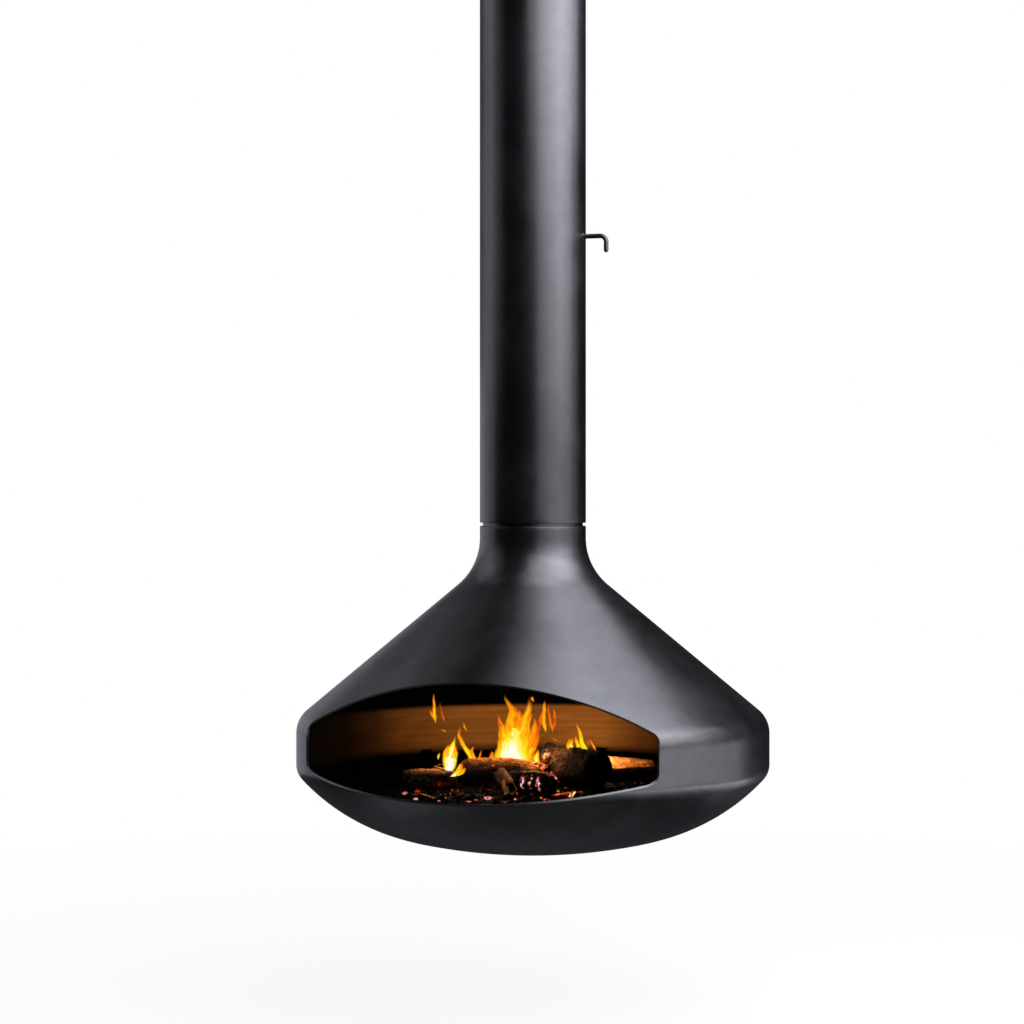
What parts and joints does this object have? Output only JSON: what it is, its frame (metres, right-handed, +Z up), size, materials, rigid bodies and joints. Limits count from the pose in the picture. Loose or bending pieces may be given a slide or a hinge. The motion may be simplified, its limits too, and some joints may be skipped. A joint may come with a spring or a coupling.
{
  "type": "hanging fireplace",
  "caption": "Suspended open wood fireplace: a round steel hearth with a wide mouth that turns on a swivel below a ceiling-hung flue with a damper.",
  "frame": {"origin": "centre of the ceiling plate's top face, on the axis of the flue", "axes": "+Z up along the flue; -Y out of the hearth's mouth at rest; +X towards the damper handle"},
  "size_m": [1, 0.9864, 2.3525],
  "materials": {
    "anthracite_paint": "satin anthracite stove paint",
    "black_paint": "matt black heat-proof paint",
    "zinc_steel": "zinc-plated steel",
    "bearing_steel": "ground bearing steel",
    "bronze": "plain bronze",
    "rope_fibre": "glass-fibre rope",
    "heat_steel": "bare steel browned by the fire",
    "fire_iron": "black cast iron",
    "charcoal": "charcoal and ash",
    "firewood": "split firewood, charred"
  },
  "bodies": {
    "flue": {"ceiling_plate": "black_paint", "hanging_bolts": "zinc_steel", "ceiling_cover": "anthracite_paint", "cover_screws": "zinc_steel", "flue_tube": "anthracite_paint", "damper_bushes": "bronze", "swivel_spindle": "anthracite_paint", "swivel_nut": "black_paint", "nut_screws": "zinc_steel", "lower_race": "bearing_steel"},
    "damper": {"damper_rod": "anthracite_paint", "damper_blade": "black_paint", "blade_clamps": "zinc_steel", "blade_screws": "zinc_steel", "blade_nuts": "zinc_steel", "damper_collars": "zinc_steel", "collar_screws": "zinc_steel", "spring_washers": "zinc_steel"},
    "bearing": {"bearing_cage": "bronze", "bearing_balls": "bearing_steel"},
    "hearth": {"upper_race": "bearing_steel", "neck_ring": "black_paint", "guide_bush": "bronze", "rope_seal": "rope_fibre", "hearth_shell": "anthracite_paint", "mouth_lip": "anthracite_paint", "fireback": "heat_steel", "fireback_clips": "black_paint", "fireback_spacers": "black_paint", "tray_ring": "black_paint"},
    "fire_tray": {"ash_pan": "black_paint", "fire_plate": "fire_iron", "ember_bed": "charcoal", "log_left": "firewood", "log_middle": "firewood", "log_front": "firewood", "log_right": "firewood", "log_rear": "firewood"}
  },
  "joints": [
    {"name": "damper_turn", "type": "hinge", "parent": "flue", "child": "damper", "pos_m": [0, 0, -0.973], "axis": [1, 0, 0], "range_deg": [0, 90]},
    {"name": "hearth_swivel", "type": "hinge", "parent": "flue", "child": "hearth", "pos_m": [0, 0, -1.58], "axis": [0, 0, 1], "continuous": true},
    {"name": "bearing_turn", "type": "hinge", "parent": "flue", "child": "bearing", "pos_m": [0, 0, -1.58], "axis": [0, 0, 1], "continuous": true},
    {"name": "tray_lift", "type": "slide", "parent": "hearth", "child": "fire_tray", "axis": [0, 0, 1], "range_m": [0, 0.06]}
  ],
  "couplings": [
    {"joint": "bearing_turn", "follows": "hearth_swivel", "ratio": 0.5}
  ]
}
